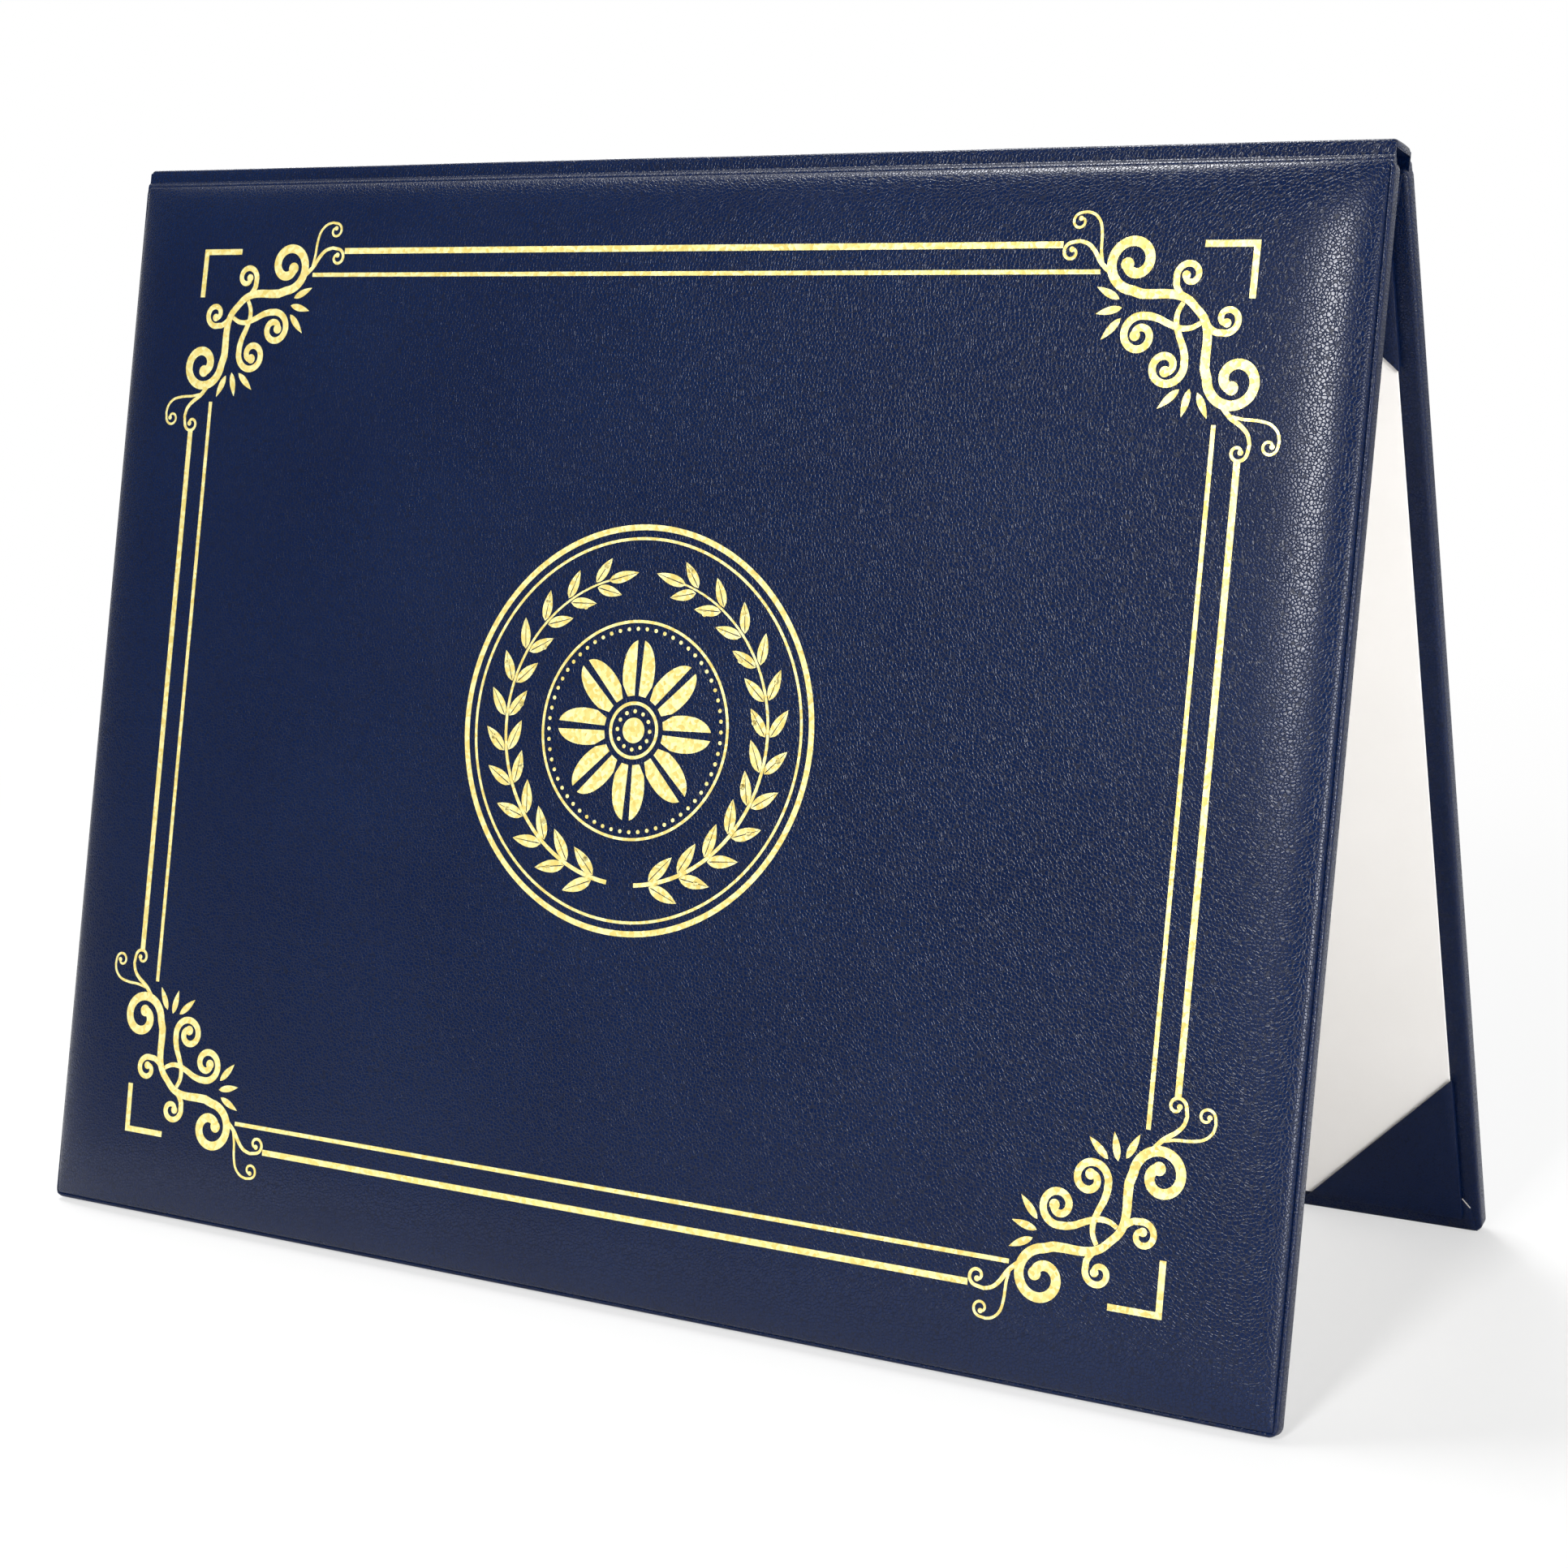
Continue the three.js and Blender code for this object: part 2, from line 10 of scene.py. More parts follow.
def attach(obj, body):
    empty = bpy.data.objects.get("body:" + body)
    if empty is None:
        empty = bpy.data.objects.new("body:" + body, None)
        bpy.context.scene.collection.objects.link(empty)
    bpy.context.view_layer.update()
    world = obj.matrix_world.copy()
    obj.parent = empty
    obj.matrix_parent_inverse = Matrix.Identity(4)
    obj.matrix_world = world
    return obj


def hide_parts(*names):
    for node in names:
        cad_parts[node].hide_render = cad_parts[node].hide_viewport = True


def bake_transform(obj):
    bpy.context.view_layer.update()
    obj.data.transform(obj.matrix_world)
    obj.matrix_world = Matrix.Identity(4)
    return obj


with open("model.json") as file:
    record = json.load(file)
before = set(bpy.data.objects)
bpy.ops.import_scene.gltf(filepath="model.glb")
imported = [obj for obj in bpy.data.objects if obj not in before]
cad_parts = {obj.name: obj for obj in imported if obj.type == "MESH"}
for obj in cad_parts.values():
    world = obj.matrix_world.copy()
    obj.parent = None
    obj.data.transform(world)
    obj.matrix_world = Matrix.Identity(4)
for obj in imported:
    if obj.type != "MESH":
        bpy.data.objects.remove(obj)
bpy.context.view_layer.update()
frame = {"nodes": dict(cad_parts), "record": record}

MM = 0.001

WIDTH, HEIGHT = 296, 232
TOP = -1.3  # a cover's top edge, below its hinge line
BOTTOM = TOP - HEIGHT
CORNER_RADIUS = 2
LEDGE, RISE = 0.9, 4.4  # the rim round the padding, and the padding's height
TURN_IN = 18
LINING_INSET = 4.4
LINING_THICKNESS = 0.5
POCKET_THICKNESS = 0.4
POCKET_LEG = 34
CAP_LENGTH, CAP_ROUND, CAP_END = WIDTH - 0.5, 0.9, 0.3  # its length, rounded ends and closed ends
SPINE_HALF = 4.2
SPINE_LOW, SPINE_HIGH = 0.7, 2.6
LEATHERETTE = 0.5
GAP = 0.2

# Levels through a cover, outwards from the face of its pockets
LINING_LEVEL = POCKET_THICKNESS + GAP
TURN_IN_LEVEL = LINING_LEVEL + LINING_THICKNESS + GAP
EDGE_LEVEL = 5.1
HINGE_LEVEL = (TURN_IN_LEVEL + EDGE_LEVEL) / 2

FRONT_LEAN, BACK_LEAN = radians(13.453885), radians(14.946115)
hinges = {joint["name"]: joint["pos_m"] for joint in frame["record"]["behaviour"]["joints"]}


class Cover:
    """A cover's coordinates: x along it, its level outwards, and z up to 0 at its hinge line."""

    def __init__(self, name, side, lean):
        self.name, self.side, self.lean = name, side, lean
        self.body, self.hinge = name + "_panel", hinges[name + "_fold"]

    def at(self, x, level, z):
        out = (level - HINGE_LEVEL) * MM
        y = self.hinge[1] + self.side * (out * cos(self.lean) - z * MM * sin(self.lean))
        return Vector((x * MM, y, self.hinge[2] + out * sin(self.lean) + z * MM * cos(self.lean)))


FRONT = Cover("front", -1, FRONT_LEAN)
BACK = Cover("back", 1, BACK_LEAN)
SPINE_MIDDLE = (Vector(hinges["front_fold"]) + Vector(hinges["back_fold"])) / 2


def on_spine(x, y, z):
    turned = Matrix.Rotation(-FRONT_LEAN, 3, "X") @ Vector((x, y, z))
    return SPINE_MIDDLE + turned * MM


# Materials
class Nodes:
    """A small builder for one material's nodes."""

    def __init__(self, name):
        self.material = bpy.data.materials.new(name)
        self.material.use_nodes = True
        self.tree = self.material.node_tree
        self.surface = self.tree.nodes["Principled BSDF"]
        self.place = self.add("ShaderNodeTexCoord").outputs["Object"]

    def add(self, kind, links=None, **values):
        node = self.tree.nodes.new(kind)
        for key, value in values.items():
            if hasattr(node, key):
                setattr(node, key, value)
            else:
                node.inputs[key.replace("_", " ")].default_value = value
        for key, socket in (links or {}).items():
            self.tree.links.new(socket, node.inputs[key])
        return node

    def noise(self, scale, detail, rough=0.5):
        node = self.add("ShaderNodeTexNoise", {"Vector": self.place}, Scale=scale, Detail=detail)
        node.inputs["Roughness"].default_value = rough
        return node.outputs["Fac"]

    def cells(self, scale, output="Distance"):
        node = self.add("ShaderNodeTexVoronoi", {"Vector": self.place}, Scale=scale)
        return node.outputs[output]

    def spread(self, socket, low, high, start=0.3, end=0.7):
        node = self.add("ShaderNodeMapRange", {"Value": socket})
        for key, value in (("From Min", start), ("From Max", end), ("To Min", low), ("To Max", high)):
            node.inputs[key].default_value = value
        return node.outputs["Result"]

    def blend(self, part, first, second):
        node = self.tree.nodes.new("ShaderNodeMix")
        node.data_type = "RGBA"
        self.tree.links.new(part, node.inputs["Factor"])
        for key, colour in (("A", first), ("B", second)):
            socket = next(s for s in node.inputs if s.name == key and s.type == "RGBA")
            if isinstance(colour, tuple):
                socket.default_value = (*colour, 1)
            else:
                self.tree.links.new(colour, socket)
        return next(s for s in node.outputs if s.type == "RGBA")

    def bump(self, height, distance, strength, before=None):
        links = {"Height": height}
        if before:
            links["Normal"] = before
        node = self.add("ShaderNodeBump", links)
        node.inputs["Distance"].default_value = distance
        node.inputs["Strength"].default_value = strength
        return node.outputs["Normal"]

    def finish(self, colour, rough, normal, **plain):
        for key, socket in (("Base Color", colour), ("Roughness", rough), ("Normal", normal)):
            self.tree.links.new(socket, self.surface.inputs[key])
        for key, value in plain.items():
            self.surface.inputs[key.replace("_", " ")].default_value = value
        return self.material


DRIFT = 0.4  # how far the pebbles' pattern is pulled about, as a share of a pebble
CREASE_REACH = 0.14  # half the width of a line between two pebbles, as a share of a pebble
# the first value darkens the lines between pebbles, as painted shade in their creases
CREASE_PAINTED_SHADE, CREASE_ROUGHNESS, CREASE_DEPTH = 0.45, 0.22, 0.00005
PEBBLE_DOME = 0.0001


def leatherette(name, deep, light, grain, rough, specular):
    """Embossed vinyl: glossy pebbles with duller lines between them, darkened with painted shade."""
    n = Nodes(name)
    drift = n.add("ShaderNodeTexNoise", {"Vector": n.place}, Scale=grain * 0.5, Detail=1.0)
    moved = n.add("ShaderNodeVectorMath", operation="MULTIPLY_ADD")
    n.tree.links.new(drift.outputs["Color"], moved.inputs[0])
    moved.inputs[1].default_value = [DRIFT / grain] * 3
    n.tree.links.new(n.place, moved.inputs[2])
    cells = n.add("ShaderNodeTexVoronoi", {"Vector": moved.outputs[0]}, feature="DISTANCE_TO_EDGE")
    cells.inputs["Scale"].default_value = grain
    crease = cells.outputs["Distance"]
    pebble = n.spread(crease, 0, 1, 0, CREASE_REACH)
    worn = n.blend(n.spread(n.noise(26, 3), 0, 1), deep, light)
    # painted shade: the lines between pebbles are darkened where shade falls in the creases
    colour = n.blend(pebble, tuple(c * CREASE_PAINTED_SHADE for c in deep), worn)
    gloss = n.add("ShaderNodeMath", operation="ADD")
    n.tree.links.new(n.spread(n.noise(14, 4), rough - 0.02, rough + 0.03), gloss.inputs[0])
    n.tree.links.new(n.spread(crease, CREASE_ROUGHNESS, 0, 0, 0.16), gloss.inputs[1])
    soft = n.bump(n.noise(150, 2), 0.0003, 0.1)
    domed = n.bump(crease, PEBBLE_DOME, 0.26, soft)
    normal = n.bump(pebble, CREASE_DEPTH, 0.5, domed)
    return n.finish(colour, gloss.outputs[0], normal, Specular_IOR_Level=specular)


FOIL_GRAIN = 1300


def gold_foil():
    """Hot-stamped foil: metal with a fine speckle from the grain under it, and painted shade that darkens it
    towards its right.
    """
    n = Nodes("gold_foil")
    speckle = n.cells(FOIL_GRAIN, "Color")
    part = n.add("ShaderNodeSeparateColor", {"Color": speckle}).outputs["Red"]
    across = n.add("ShaderNodeSeparateXYZ", {"Vector": n.place}).outputs["X"]
    # painted shade: the foil's colour darkens and turns more orange towards its right side
    painted_shade_right = n.blend(n.spread(across, 0, 1, -0.02, 0.16), (0.95, 0.76, 0.215), (0.78, 0.57, 0.16))
    tint = n.blend(n.spread(part, 0, 1, 0.1, 0.9), painted_shade_right, (1, 0.93, 0.45))
    gloss = n.spread(part, 0.34, 0.5, 0, 1)
    normal = n.bump(n.cells(FOIL_GRAIN), 0.00008, 0.3, n.bump(n.noise(420, 2), 0.0001, 0.25))
    return n.finish(tint, gloss, normal, Metallic=0.5)


def paper(name, colour, fleck, rough=0.8):
    n = Nodes(name)
    fibres = n.noise(900, 4, 0.7)
    tint = n.blend(n.spread(n.noise(60, 3), 0, 1, 0.35, 0.65), colour, fleck)
    normal = n.bump(fibres, 0.00006, 0.3)
    return n.finish(tint, n.spread(fibres, rough - 0.05, rough + 0.05), normal, Specular_IOR_Level=0.3)


DEEP_NAVY, NAVY_BLUE = (0.0011, 0.0074, 0.038), (0.0019, 0.01, 0.046)
NAVY = leatherette("navy_leatherette", DEEP_NAVY, NAVY_BLUE, 1450, 0.2, 0.28)
INSIDE = leatherette("navy_leatherette_inside", DEEP_NAVY, NAVY_BLUE, 1600, 0.34, 0.2)
LINING = paper("white_lining", (0.925, 0.903, 0.88), (0.91, 0.888, 0.862))
BOARD = paper("greyboard", (0.27, 0.25, 0.21), (0.2, 0.185, 0.155), 0.9)
BACKING = paper("leatherette_backing", (0.62, 0.6, 0.56), (0.5, 0.48, 0.45), 0.9)
FOIL = gold_foil()


# Meshes
def piece(name, points, faces, body, material, smooth_to=50):
    mesh = bpy.data.meshes.new(name)
    mesh.from_pydata(points, [], faces)
    work = bmesh.new()
    work.from_mesh(mesh)
    bmesh.ops.remove_doubles(work, verts=work.verts, dist=1e-7)
    bmesh.ops.recalc_face_normals(work, faces=work.faces)
    work.to_mesh(mesh)
    work.free()
    mesh.shade_smooth()
    mesh.set_sharp_from_angle(angle=radians(smooth_to))
    mesh.materials.append(material)
    obj = bpy.data.objects.new(name, mesh)
    bpy.context.scene.collection.objects.link(obj)
    if body:
        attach(obj, body)
    return obj


def closed(rings):
    """Points and faces of a solid that runs through rings of points, with flat ends."""
    count, last = len(rings[0]), (len(rings) - 1) * len(rings[0])
    faces = [tuple(range(count)), tuple(range(last, last + count))]
    for start in range(0, last, count):
        for k in range(count):
            m = (k + 1) % count
            faces.append((start + k, start + m, start + count + m, start + count + k))
    return [point for ring in rings for point in ring], faces


def merged(parts):
    points, faces = [], []
    for more, sides in parts:
        start = len(points)
        points += more
        faces += [tuple(start + i for i in side) for side in sides]
    return points, faces


SMALLEST_RADIUS = 0.15  # of a corner that is moved in


def on_cover(across, up, inset=0.0):
    """The plan place of a point given from the cover's left and lower edges, moved in by inset."""
    radius = max(CORNER_RADIUS - inset, SMALLEST_RADIUS)
    near = []
    for distance, length in ((across, WIDTH), (up, HEIGHT)):
        edge = min(distance, length - distance)
        if edge <= CORNER_RADIUS:
            near.append(edge * radius / CORNER_RADIUS)
        else:
            room = (length / 2 - inset - radius) / (length / 2 - CORNER_RADIUS)
            near.append(radius + (edge - CORNER_RADIUS) * room)
    x, z = near
    if x < radius and z < radius:
        a, b = 1 - x / radius, 1 - z / radius
        x = radius * (1 - a * sqrt(1 - b * b / 2))
        z = radius * (1 - b * sqrt(1 - a * a / 2))
    return (
        inset + x - WIDTH / 2 if across < WIDTH / 2 else WIDTH / 2 - inset - x,
        BOTTOM + inset + z if up < HEIGHT / 2 else TOP - inset - z,
    )


# Distances from a cover's edge at which its skin has points, and the step between them elsewhere
RIM_STEPS = [0, 0.06, 0.2, 0.42, 0.7, 0.85, 0.95, 1.1, 1.35, 1.7, 2.2, 2.8, 3.5, 4.3, 5.2, 6.2, 7.4,
             8.8, 10.4, 12.2, 14.2, 17]
GRID_STEP = 4.5
RIM_ROUNDING = 0.75
GROOVE_DEPTH, GROOVE_WIDTH = 0.2, 0.16  # between the rim and the padding
FALL = 22  # the padding is full this far from an edge
CROWN, CROWN_WIDTH = 0.2, 48  # the foam's long fall towards the edges, as a share of its rise
TOP_FILL = 0.6  # the foam starts this much closer to the top edge
TURN_IN_RISE = 0.09  # how far the turn-in bulges past its level

# The skin from its rim down, round the edge and over the turn-in, as [inset, level]
SKIN_WALL = [(0, 3.6), (0, TURN_IN_LEVEL + 0.8), (0.1, TURN_IN_LEVEL + 0.42), (0.3, TURN_IN_LEVEL + 0.16),
             (0.6, TURN_IN_LEVEL + 0.03), (1.2, TURN_IN_LEVEL - 0.06), (2.6, TURN_IN_LEVEL - TURN_IN_RISE),
             (3.7, TURN_IN_LEVEL - 0.02), (4.4, TURN_IN_LEVEL + 0.06), (6, TURN_IN_LEVEL + 0.08),
             (TURN_IN, TURN_IN_LEVEL + 0.08), (TURN_IN, TURN_IN_LEVEL + LEATHERETTE)]


def steps_over(length):
    middle = length - 2 * RIM_STEPS[-1]
    count = round(middle / GRID_STEP)
    inner = [RIM_STEPS[-1] + middle * i / count for i in range(1, count)]
    return [*RIM_STEPS, *inner, *(length - step for step in reversed(RIM_STEPS))]


def swell(distance):
    """How full the padding is at a distance from an edge, from 0 to 1."""
    part = min(max((distance - LEDGE) / (FALL - LEDGE), 0), 1)
    away = max(1 - distance / CROWN_WIDTH, 0)
    return sqrt(1 - (1 - part) ** 3) * (1 - CROWN * away * away)


def unevenness(x, z):
    """The foam's own slight waves under the leatherette, within a tenth of a millimetre."""
    return 0.045 * sin(x / 21 + 1.3) * sin(z / 17 + 0.7) + 0.03 * sin(x / 47 - z / 29 + 2.1) - 0.025


def face_level(across, up):
    near_x, near_z = min(across, WIDTH - across), min(up, HEIGHT - up)
    edge = min(near_x, near_z)
    full = swell(near_x) * swell(min(up, HEIGHT - up + TOP_FILL))
    level = EDGE_LEVEL
    if edge < RIM_ROUNDING:
        level -= RIM_ROUNDING - sqrt(RIM_ROUNDING**2 - (RIM_ROUNDING - edge) ** 2)
    if HEIGHT - up > edge:  # the top edge rolls over into the fold
        level -= GROOVE_DEPTH * exp(-(((edge - LEDGE) / GROOVE_WIDTH) ** 2))
    return level + full * (RISE + unevenness(across, up))


def skin(cover):
    columns, rows = steps_over(WIDTH), steps_over(HEIGHT)
    wide, high = len(columns), len(rows)
    points = []
    for up in rows:
        for across in columns:
            x, z = on_cover(across, up)
            points.append(cover.at(x, face_level(across, up), z))
    faces = [
        (j * wide + i, j * wide + i + 1, (j + 1) * wide + i + 1, (j + 1) * wide + i)
        for j in range(high - 1)
        for i in range(wide - 1)
    ]
    rim = [(i, 0) for i in range(wide)] + [(wide - 1, j) for j in range(1, high)]
    rim += [(i, high - 1) for i in range(wide - 2, -1, -1)] + [(0, j) for j in range(high - 2, 0, -1)]
    above = [j * wide + i for i, j in rim]
    for inset, level in SKIN_WALL:
        below = []
        for i, j in rim:
            x, z = on_cover(columns[i], rows[j], inset)
            below.append(len(points))
            points.append(cover.at(x, level, z))
        for k in range(len(rim)):
            m = (k + 1) % len(rim)
            faces.append((above[k], above[m], below[m], below[k]))
        above = below
    obj = piece(cover.name + "_skin", points, faces, cover.body, NAVY)
    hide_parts(cover.name + "_wrap", cover.name + "_padding")


def corner_rounds(steps=5):
    """A cover's outline as [across, up] points that are close together only at its corners."""
    near = [CORNER_RADIUS * i / steps for i in range(steps, 0, -1)]
    back = near[::-1]
    return (
        [(0, s) for s in near] + [(0, 0)] + [(s, 0) for s in back]
        + [(WIDTH - s, 0) for s in near] + [(WIDTH, 0)] + [(WIDTH, s) for s in back]
        + [(WIDTH, HEIGHT - s) for s in near] + [(WIDTH, HEIGHT)] + [(WIDTH - s, HEIGHT) for s in back]
        + [(s, HEIGHT) for s in near] + [(0, HEIGHT)] + [(0, HEIGHT - s) for s in back]
    )


BEVEL_MIDDLE = 0.3  # a softened edge's middle point, as a share of its width


def lining(cover):
    soft, top, low = 0.14, LINING_LEVEL, LINING_LEVEL + LINING_THICKNESS
    middle = soft * BEVEL_MIDDLE
    rings = []
    for inset, level in ((soft, top), (middle, top + middle), (0, top + soft), (0, low - soft), (soft, low)):
        outline = [on_cover(*place, LINING_INSET + inset) for place in corner_rounds()]
        rings.append([cover.at(x, level, z) for x, z in outline])
    points, faces = closed(rings)
    obj = piece(cover.name + "_lining_card", points, faces, cover.body, LINING, 25)
    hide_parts(cover.name + "_lining")


def prism(cover, outline, top, low, soft):
    """Points and faces of a flat plate of [x, z] points with its upper edges softened."""
    mx, mz = sum(x for x, _ in outline) / len(outline), sum(z for _, z in outline) / len(outline)
    middle = soft * BEVEL_MIDDLE
    rings = []
    for inset, level in ((soft, top), (middle, top + middle), (0, top + soft), (0, low)):
        ring = []
        for x, z in outline:
            reach = hypot(x - mx, z - mz)
            part = max(1 - inset / reach, 0) if reach else 1
            ring.append(cover.at(mx + (x - mx) * part, level, mz + (z - mz) * part))
        rings.append(ring)
    return closed(rings)


def tube(centre_line, radius, sides=8):
    """Points and faces of a round bead along a line of world places."""
    along = (centre_line[-1] - centre_line[0]).normalized()
    first = along.orthogonal().normalized()
    second = along.cross(first)
    angles = [2 * pi * s / sides for s in range(sides)]
    spokes = [(first * cos(a) + second * sin(a)) * radius * MM for a in angles]
    return closed([[place + spoke for spoke in spokes] for place in centre_line])


HEM, HEM_STEPS = 0.2, 12  # radius of a pocket's hem, and its points
HEM_SHIFT = HEM * 0.6  # its middle line, from the pocket's long side
STRIP_EDGE, STRIP_SHORT = 0.03, 1  # how far a folded strip stays inside the pocket's edge and point
STRIP_LEVELS = (0.2, TURN_IN_LEVEL - 0.12)


def pocket(side, end):
    """A corner of leatherette over the lining: folded round two edges, with a hem on its long side."""
    x = side * (WIDTH / 2 - LINING_INSET + GAP + POCKET_THICKNESS)
    z = (TOP if end > 0 else BOTTOM) - end * (LINING_INSET - GAP - POCKET_THICKNESS)
    leg = POCKET_LEG + GAP + POCKET_THICKNESS
    long_side = []
    for i in range(HEM_STEPS + 1):
        part = i / HEM_STEPS
        long_side.append((x - side * leg * (1 - part), z - end * leg * part))
    parts = [prism(BACK, [(x, z), *long_side], 0, POCKET_THICKNESS, 0.16)]
    edge, fold, reach = STRIP_EDGE, POCKET_THICKNESS, leg - STRIP_SHORT
    for strip in (
        [(x - side * edge, z - end * edge), (x - side * reach, z - end * edge),
         (x - side * reach, z - end * fold), (x - side * edge, z - end * fold)],
        [(x - side * edge, z - end * edge), (x - side * edge, z - end * reach),
         (x - side * fold, z - end * reach), (x - side * fold, z - end * edge)],
    ):
        parts.append(prism(BACK, strip, *STRIP_LEVELS, 0.02))
    bead = [BACK.at(px + side * HEM_SHIFT, HEM + 0.01, pz + end * HEM_SHIFT) for px, pz in long_side[1:-1]]
    parts.append(tube(bead, HEM))
    name = f"pocket_{'high' if end > 0 else 'low'}_{'right' if side > 0 else 'left'}"
    points, faces = merged(parts)
    obj = piece(name + "_cover", points, faces, BACK.body, INSIDE)
    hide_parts(name)


# The turned-in leatherette overlaps itself at each corner. Its seam is given from the corner.
SEAM = [(0.9, 0.6), (1.5, 3.2), (2.1, 6.2), (3.75, 8.3)]
OVERLAP_EDGE = [(3.75, 8.3), (5.2, 8), (7, 5), (7, 1), (3, 0.85)]
OVERLAP = 0.13
RAW_EDGE = 0.13  # radius of the cut edge that shows at the low corners


def corner_folds(cover):
    flaps, edges = [], []
    top = TURN_IN_LEVEL - TURN_IN_RISE - OVERLAP
    for side in (-1, 1):
        for end in (-1, 1):
            def place(a, b):
                return side * (WIDTH / 2 - a), (TOP if end > 0 else BOTTOM) - end * b
            outline = [place(a, b) for a, b in SEAM[:-1] + OVERLAP_EDGE]
            flaps.append(prism(cover, outline, top, TURN_IN_LEVEL + 0.02, 0.05))
            if end < 0:
                ends = [place(a, b) for a, b in SEAM[2:]]
                edges.append(tube([cover.at(x, top + 0.05, z) for x, z in ends], RAW_EDGE, 6))
    points, faces = merged(flaps)
    piece(cover.name + "_corner_folds", points, faces, cover.body, NAVY)
    points, faces = merged(edges)
    piece(cover.name + "_raw_edges", points, faces, cover.body, BACKING)


# The spine's cap and the two folds of leatherette that carry it
def arc(middle, radius, start, end, steps=5):
    angles = [radians(start + (end - start) * i / steps) for i in range(steps + 1)]
    return [(middle[0] + radius * cos(a), middle[1] + radius * sin(a)) for a in angles]


END_STEPS = [0, 0.2, 0.36, 0.8, 1.4]
MIDDLE_STEPS = 74


def stations(length):
    """Places along the fold line, close together only at its ends."""
    half = length / 2
    inner = half - END_STEPS[-1]
    middle = [-inner + 2 * inner * i / MIDDLE_STEPS for i in range(1, MIDDLE_STEPS)]
    return [*(-half + e for e in END_STEPS), *middle, *(half - e for e in reversed(END_STEPS))]


CAP_SOFT, CAP_CROWN = 0.75, 0.12  # radius of its long edges, and its height over them
CAP_FLAT = 1.6  # half the width of its middle
CAP_SKIRT = 0.15  # its outer sides end this much above its inner ones
CAP_NARROWING, CAP_DROP = 0.14, 0.6  # at its ends: a share of its width, and a height
SAG_HEIGHT = 1.2  # over which its sag and its drop fade in


def spine_cap():
    corner, bend = SPINE_HALF - CAP_SOFT, SPINE_HIGH - CAP_CROWN - CAP_SOFT
    outer = [(-SPINE_HALF, SPINE_LOW + CAP_SKIRT), *arc((-corner, bend), CAP_SOFT, 180, 96)]
    outer += [(-CAP_FLAT, SPINE_HIGH - 0.03), (0, SPINE_HIGH), (CAP_FLAT, SPINE_HIGH - 0.03)]
    outer += [*arc((corner, bend), CAP_SOFT, 84, 0), (SPINE_HALF, SPINE_LOW + CAP_SKIRT)]
    side, under = SPINE_HALF - LEATHERETTE, SPINE_HIGH - LEATHERETTE
    inner = [(SPINE_HALF - 0.25, SPINE_LOW), (side, SPINE_LOW + 0.1), (side, under - 0.35),
             (side - 0.3, under - 0.05)]
    inner += [(-y, z) for y, z in reversed(inner)]

    def at(x):
        depth = CAP_LENGTH / 2 - abs(x)
        end = min(max(depth / CAP_ROUND, 0), 1)
        fall = 1 - sqrt(1 - (1 - end) ** 2)
        narrow = 1 - CAP_NARROWING * fall
        sag = 0.05 + 0.03 * sin(x / 19 + 0.4) + 0.02 * sin(x / 7.3)
        ring = []
        for y, z in outer:
            high = min(max((z - SPINE_LOW) / SAG_HEIGHT, 0), 1)
            ring.append(on_spine(x, y * narrow, z - high * (sag + CAP_DROP * fall)))
        for y, z in inner:
            if depth < CAP_END:  # the end is closed
                z = SPINE_LOW
            ring.append(on_spine(x, y * narrow, z))
        return ring

    points, faces = closed([at(x) for x in stations(CAP_LENGTH)])
    obj = piece("spine_cap", points, faces, "spine", NAVY)
    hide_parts("spine_wrap")


# A fold's section, [out from the hinge line, up from it, more out where the cover is full]: it rolls
# over the cover's edge, then stands against the cap's side
HINGE_REACH = (Vector(hinges["back_fold"]) - Vector(hinges["front_fold"])).length / 2 / MM
SIDE = SPINE_HALF - HINGE_REACH
FOLD_OUTSIDE = [(1.66, -3.3, 0), (1.7, -2.3, 0.6), (1.7, -2.0, 0.98), (1.69, -1.7, 0.96),
                (1.67, -1.45, 0.82), (1.63, -1.2, 0.62), (1.56, -1.0, 0.42), (1.43, -0.85, 0.24),
                (1.3, -0.74, 0.1), (SIDE + 0.12, -0.6, 0), (SIDE + 0.08, -0.3, 0),
                (SIDE + 0.08, 0.3, 0), (SIDE + 0.08, 0.8, 0), (SIDE + 0.07, 1.2, 0),
                (SIDE + 0.03, 1.5, 0), (SIDE - 0.08, 1.7, 0)]
FOLD_INSIDE = [(SIDE - 0.22, 1.65), (SIDE - 0.32, 1.1), (SIDE - 0.35, 0.6), (SIDE - 0.38, 0.2),
               (SIDE - 0.45, -0.4), (0.5, -0.9), (0.1, -1.3), (-0.1, -1.9), (-0.1, -3.3)]
FOLD_LENGTH = WIDTH - 0.7
BLEND_START, BLEND_HEIGHT = -0.9, 1.4  # where a fold leaves its cover for the spine


def fold(cover):
    def at(x):
        ring = []
        full = swell(max(WIDTH / 2 - abs(x), 0))
        outside = [(out + more * full, up) for out, up, more in FOLD_OUTSIDE]
        for out, up in outside + FOLD_INSIDE:
            low = cover.at(x, HINGE_LEVEL + out, up)
            high = on_spine(x, cover.side * (HINGE_REACH + out), up)
            part = min(max((up - BLEND_START) / BLEND_HEIGHT, 0), 1)
            ring.append(low.lerp(high, part * part * (3 - 2 * part)))
        return ring

    points, faces = closed([at(x) for x in stations(FOLD_LENGTH)])
    obj = piece(cover.name + "_hinge_fold", points, faces, None, NAVY)
    tuple(cover.at(0, HINGE_LEVEL, -0.7))
    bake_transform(obj)


